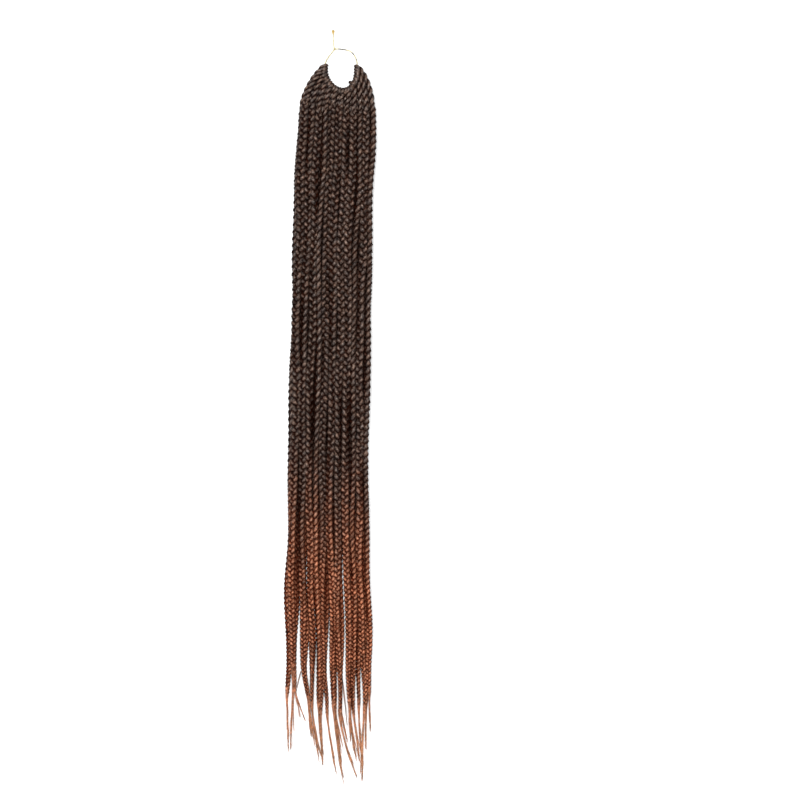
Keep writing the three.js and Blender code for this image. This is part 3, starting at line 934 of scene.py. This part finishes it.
def hair_material(colours):
    """Silky fibre, dark at the head and auburn at the tips, streaked along each strand, with shade
    painted into the grooves and between the braids.
    """
    material, tree, shader = new_material("silky_hair")
    place = add_node(tree, "TexCoord", {}).outputs
    y = add_node(tree, "SeparateXYZ", {0: place["Object"]}).outputs[1]
    tone, early, clear = (
        add_node(tree, "Attribute", {}, attribute_name=name).outputs["Fac"]
        for name in ("tone", "early", "open"))
    along, turn, _ = add_node(tree, "SeparateXYZ", {0: place["UV"]}).outputs
    drift, patch, grain = (
        noise(tree, place["Object"], *pattern) for pattern in (DRIFT, PATCHES, GRAIN))
    streak = noise(tree, scaled(tree, (along, turn, tone), STREAK_REPEATS), 1.0, 3.0, 0.6)
    fibre = noise(tree, scaled(tree, (along, turn, tone), FIBRE_REPEATS), 1.0, 2.0)

    # Colour change: down the bundle, earlier or later for each braid, each strand and each streak
    height = weighted(tree, y, (early, -EARLINESS), (tone, TONE_SHIFT), (drift, DRIFT_SHIFT),
                      (streak, STREAK_SHIFT))
    middle = colours.change_y + (DRIFT_SHIFT + STREAK_SHIFT) / 2
    half = colours.change_length / 2
    change = ramp(tree, height, middle + half, middle - half, interpolation_type="SMOOTHSTEP")
    colour = blend_colour(tree, change, (*colours.head, 1.0), (*colours.tips, 1.0))
    ends = ramp(tree, y, *ENDS_Y, high=ENDS_SHARE)
    colour = blend_colour(tree, ends, colour, ENDS_COLOUR)

    # Reddish and ashen patches, light and dark fibres, specks that fade at the ends, and painted
    # shade in the grooves
    ashen = blend_colour(tree, change, ASHEN_HEAD, ASHEN_TIPS)
    cast = blend_colour(tree, ramp(tree, patch, 0.34, 0.66), ashen, REDDISH)
    grain = weighted(tree, grain, (weighted(tree, 0.6, (grain, -1.2)), ends))
    light = weighted(tree, -1.15, (streak, 3.8), (fibre, 0.6), (tone, 0.13))
    light = maths(tree, "MULTIPLY", light, ramp(tree, grain, 0.36, 0.62, 0.5, 1.36))
    shade = add_node(tree, "CombineColor", {0: light, 1: light, 2: light}).outputs[0]
    # Painted shade: the colour darkens in the grooves between strands, down the braids' sides and
    # on bottom braids between top ones
    for tint in (cast, shade, blend_colour(tree, clear, PAINTED_GROOVE_SHADE, UNSHADED_HAIR)):
        colour = blend_colour(tree, 1.0, colour, tint, "MULTIPLY")

    # Gloss on the open hair, matt in the grooves
    glint = ramp(tree, grain, 0.38, 0.6, 0.3, 1.1)
    glint = maths(tree, "MULTIPLY", maths(tree, "POWER", clear, 1.5), glint)
    relief = weighted(tree, 0.0, (fibre, 0.9), (streak, 0.6), (grain, 1.1))
    set_inputs(tree, shader, {
        "Base Color": colour, "Roughness": weighted(tree, 0.8, (fibre, 0.22), (clear, -0.6)),
        "Specular Tint": blend_colour(tree, glint, NO_GLOSS, FULL_GLOSS),
        "Specular IOR Level": 1.0, "Normal": bump(tree, relief, 0.9, 0.0005)})
    return material


def bump(tree, height, strength, distance):
    """Bump from a pattern, the distance in metres."""
    node = add_node(tree, "Bump", {
        "Height": height, "Strength": strength, "Distance": distance})
    return node.outputs[0]


def thread_material():
    """Pale gold metallised thread, with dark runs painted on as reflection, over its arch and here
    and there along it.
    """
    material, tree, shader = new_material("gold_thread")
    place = add_node(tree, "TexCoord", {}).outputs
    x, y, _ = add_node(tree, "SeparateXYZ", {0: place["Object"]}).outputs
    along, turn, _ = add_node(tree, "SeparateXYZ", {0: place["UV"]}).outputs
    # Painted reflection: dark runs here and there along the thread, and all over its arch
    dark_runs = ramp(tree, noise(tree, scaled(tree, (along,), (2.2,)), 1.0, 1.0), 0.52, 0.6)
    dark_reflection = maths(tree, "MAXIMUM", ramp(tree, x, *ARCH_REFLECTION_END_X), dark_runs)
    dark_reflection = maths(tree, "MULTIPLY", ramp(tree, x, *ARCH_REFLECTION_START_X), dark_reflection)
    foil = noise(tree, scaled(tree, (along, turn), (40.0, 4.0)), 1.0, 2.0)
    gold = blend_colour(tree, foil, GOLD_DARK, GOLD_LIGHT)
    gold = blend_colour(tree, ramp(tree, y, *END_KNOT_Y), gold, GOLD_KNOT)
    colour = blend_colour(tree, maths(tree, "MULTIPLY", dark_reflection, DARK_REFLECTION_SHARE), gold, PAINTED_DARK_REFLECTION)
    set_inputs(tree, shader, {
        "Base Color": colour, "Metallic": 0.35, "Roughness": 0.38,
        "Normal": bump(tree, foil, 0.5, 0.0002)})
    return material


class BRAIDS_OT_camera(bpy.types.Operator):
    """Places the camera straight above the bundle, as in the photograph."""

    bl_idname = "braids.camera"
    bl_label = "Camera"

    def execute(self, context):
        x, y = FRAME_MIDDLE
        bpy.ops.object.camera_add(
            location=(x * MM, y * MM, CAMERA_HEIGHT * MM), rotation=(0, 0, 0))
        camera = context.object
        camera.name = "overhead_camera"
        camera.data.sensor_width = SENSOR_WIDTH
        camera.data.lens = SENSOR_WIDTH * CAMERA_HEIGHT / FRAME_WIDTH
        camera.data.clip_end = 100.0
        context.scene.camera = camera
        return {"FINISHED"}


class BRAIDS_OT_thread(bpy.types.Operator):
    """Lays the metallic thread through the eyes and ties its two knots."""

    bl_idname = "braids.thread"
    bl_label = "Thread"

    def execute(self, context):
        material = thread_material()
        route = np.vstack([LOOP, TAIL[1:]])
        lengths = lengths_along(route)
        length = lengths[-1]
        places = np.linspace(0, length, int(length / THREAD_STEP))
        path = points_at(route, lengths, places)
        section = outline("thread_section", THREAD_DIAMETER / 2 * MM, THREAD_WAIST, THREAD_WAIST,
                          resolution=3, points=(0, 2))
        run = (path, 1.0, math.tau * places / THREAD_TURN, 0.0)
        thread = swept("thread", [run], section, material)
        for name, node, middle, reach in KNOTS:
            turn = np.linspace(0, math.tau, KNOT_POINTS, endpoint=False)
            loop = np.column_stack([
                np.sin(turn) + 2 * np.sin(2 * turn), np.cos(turn) - 2 * np.cos(2 * turn),
                -1.4 * np.sin(3 * turn)])
            loop = loop * reach + [middle[0], middle[1], KNOT_HEIGHT]
            knot = swept(name, [(loop, KNOT_THREAD, 0.0, 0.0)], section, material, closed=True)
            knot.name = name
            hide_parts(node)
            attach(knot, "root")
        bpy.data.objects.remove(section)
        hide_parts("thread_loop", "thread_tail")
        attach(thread, "root")
        return {"FINISHED"}


class BRAIDS_OT_braids(bpy.types.Operator):
    """Plaits the braids: strands, twisted necks, loose tips and stray fibres."""

    bl_idname = "braids.braids"
    bl_label = "Braids"

    def execute(self, context):
        settings = context.scene.braid_settings
        material = hair_material(context.scene.hair_colours)
        strand = outline(
            "strand_section", 1.0, settings.strand_width / 2, settings.strand_thickness / 2)
        ply = outline("ply_section", 1.0, PLY_WIDTH * MM / 2, PLY_THICKNESS * MM / 2)
        core = outline("core_section", 1.0, MM, MM)
        fibre = outline("fibre_section", 1.0, MM, MM, resolution=1)
        offsets = packing(settings)
        for index in range(BRAID_COUNT):
            rng = np.random.default_rng(SEED + index)
            line = BraidLine(index, settings, offsets[index], rng)
            plait, start, size, plait_middle = plait_runs(line, settings, rng)
            neck, neck_reach, neck_middle = neck_runs(line, start, rng)
            cores, fibres = lock_runs(line, settings, rng)
            parts = [
                swept("plait", plait, strand, material, reach=2.5 * size, middle=plait_middle),
                swept("neck", neck, ply, material, reach=neck_reach, middle=neck_middle,
                      folded=True),
                swept("cores", cores, core, material),
                swept("fibres", fibres + stray_runs(line, settings, rng), fibre, material),
            ]
            only(*parts)
            bpy.ops.object.join()
            braid = context.object
            braid.name = f"box_braid_{index + 1:02d}"
            mesh = braid.data
            mark(mesh, "early", np.full(len(mesh.vertices), line.early * MM))
            # painted shade on bottom braids between top ones
            if index and not line.upper:
                shade_between(mesh)
            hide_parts(f"braid_{index + 1:02d}")
            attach(braid, "root")
        for section in (strand, ply, core, fibre):
            bpy.data.objects.remove(section)
        return {"FINISHED"}


class BRAIDS_OT_stage(bpy.types.Operator):
    """Lays the pale floor and hangs the soft lights."""

    bl_idname = "braids.stage"
    bl_label = "Stage"

    def execute(self, context):
        settings = context.scene.stage_settings
        bpy.ops.object.select_all(action="DESELECT")
        bpy.ops.mesh.primitive_plane_add(size=FLOOR_SIZE, location=(0, 0, 0))
        floor = context.object
        floor.name = "floor"
        material, tree, shader = new_material("pale_floor")
        set_inputs(tree, shader, {
            "Base Color": FLOOR_WHITE, "Roughness": 0.9, "Specular IOR Level": 0.1})
        floor.data.materials.append(material)
        for name, place, turn, size, power in SOFTBOXES:
            bpy.ops.object.light_add(type="AREA", location=place, rotation=turn)
            light = context.object
            light.name = name
            light.data.shape = "SQUARE"
            light.data.size = size
            light.data.energy = getattr(settings, power)
        world = bpy.data.worlds.new("white_surroundings")
        world.use_nodes = True
        set_inputs(world.node_tree, world.node_tree.nodes["Background"], {
            "Color": (1, 1, 1, 1), "Strength": settings.sky})
        context.scene.world = world
        context.scene.view_settings.view_transform = "Standard"
        return {"FINISHED"}


class BRAIDS_PT_panel(bpy.types.Panel):
    """Lists the pieces and their settings."""

    bl_idname = "BRAIDS_PT_panel"
    bl_label = "Box braid bundle"
    bl_space_type = "VIEW_3D"
    bl_region_type = "UI"
    bl_category = "Braids"

    def draw(self, context):
        layout = self.layout
        for operator in OPERATORS:
            layout.operator(operator.bl_idname)
        for group in (getattr(context.scene, settings) for settings in SETTINGS):
            for name in group.bl_rna.properties.keys():
                if name not in ("rna_type", "name"):
                    layout.prop(group, name)


SETTINGS = {
    "braid_settings": BraidSettings, "hair_colours": HairColours, "stage_settings": StageSettings}
OPERATORS = (BRAIDS_OT_camera, BRAIDS_OT_thread, BRAIDS_OT_braids, BRAIDS_OT_stage)
CLASSES = (*SETTINGS.values(), *OPERATORS, BRAIDS_PT_panel)


def register():
    for item in CLASSES:
        bpy.utils.register_class(item)
    for name, group in SETTINGS.items():
        setattr(bpy.types.Scene, name, PointerProperty(type=group))


def unregister():
    for name in SETTINGS:
        delattr(bpy.types.Scene, name)
    for item in reversed(CLASSES):
        bpy.utils.unregister_class(item)


def main():
    register()
    bpy.ops.braids.camera()
    bpy.ops.braids.thread()
    bpy.ops.braids.braids()
    bpy.ops.braids.stage()


if __name__ == "__main__":
    main()
